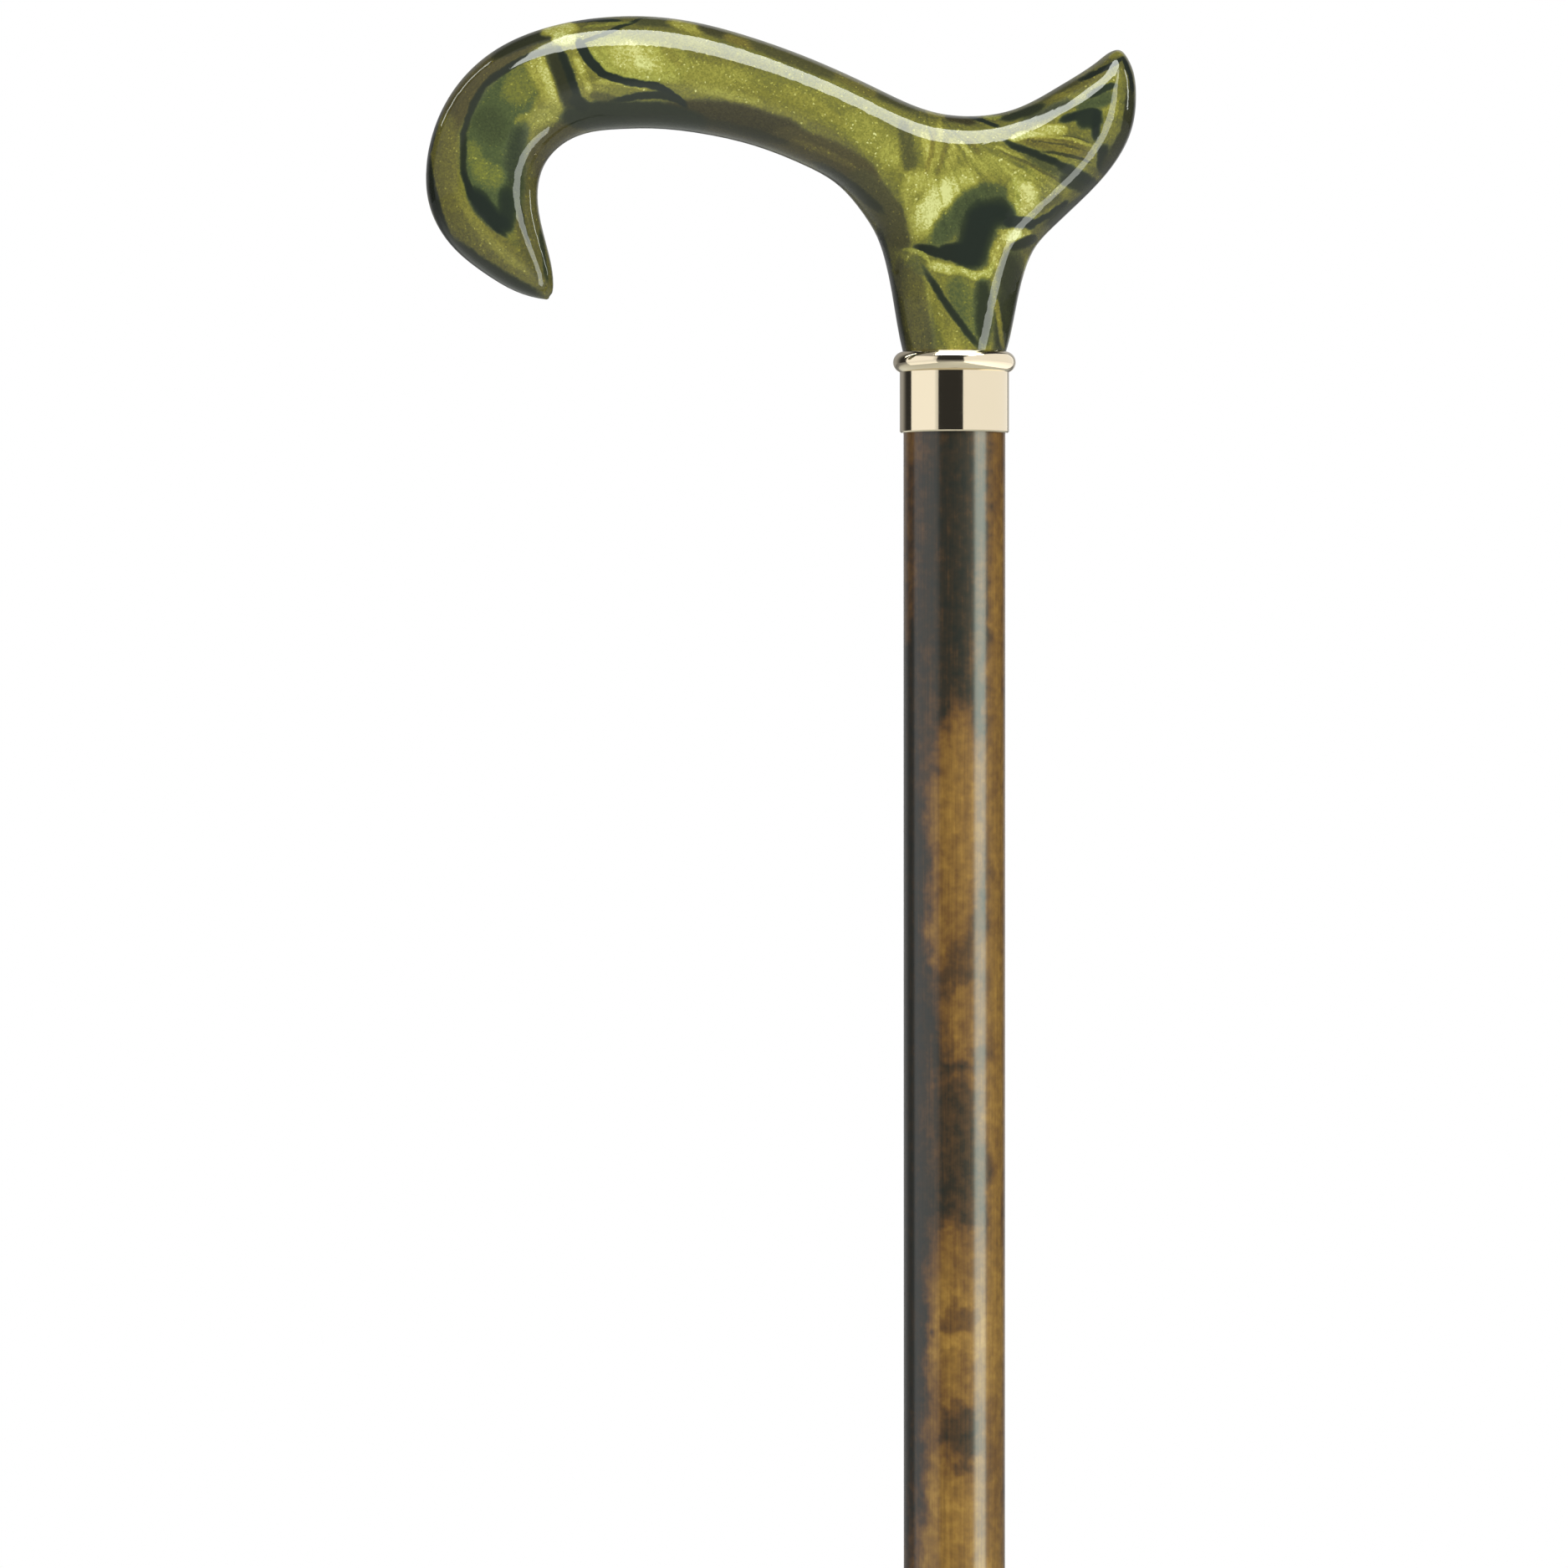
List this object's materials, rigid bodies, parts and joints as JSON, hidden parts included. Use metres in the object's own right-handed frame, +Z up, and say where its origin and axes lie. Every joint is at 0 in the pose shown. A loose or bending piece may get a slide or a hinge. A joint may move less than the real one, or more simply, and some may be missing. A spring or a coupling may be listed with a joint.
{
  "type": "derby handle cane",
  "caption": "Walking cane: hooked derby grip with a flared tail on a collared wooden shaft, push-on rubber ferrule.",
  "frame": {"origin": "centre of the ferrule's flat sole, on the axis of the shaft", "axes": "+Z up the shaft to the grip, -X towards the hooked nose of the grip, +X towards its tail, Y across the grip"},
  "size_m": [0.1323, 0.032, 0.9201],
  "materials": {
    "pearl_acrylic": "cast acrylic, marbled olive and black-green pearl, polished and clear-coated",
    "insert_brass": "turned, knurled",
    "zinc_steel": "zinc-plated",
    "polished_brass": "spun, polished and gilt",
    "scorched_beech": "flame-scorched, satin lacquer",
    "black_rubber": "moulded, matt",
    "washer_steel": "stamped, zinc-plated"
  },
  "bodies": {
    "cane": {"handle": "pearl_acrylic", "handle_insert": "insert_brass", "hanger_bolt": "zinc_steel", "collar": "polished_brass", "shaft": "scorched_beech"},
    "tip": {"ferrule": "black_rubber", "ferrule_washer": "washer_steel"}
  },
  "joints": [
    {"name": "ferrule_pull_off", "type": "slide", "parent": "cane", "child": "tip", "axis": [0, 0, -1], "range_m": [0, 0.04]}
  ]
}
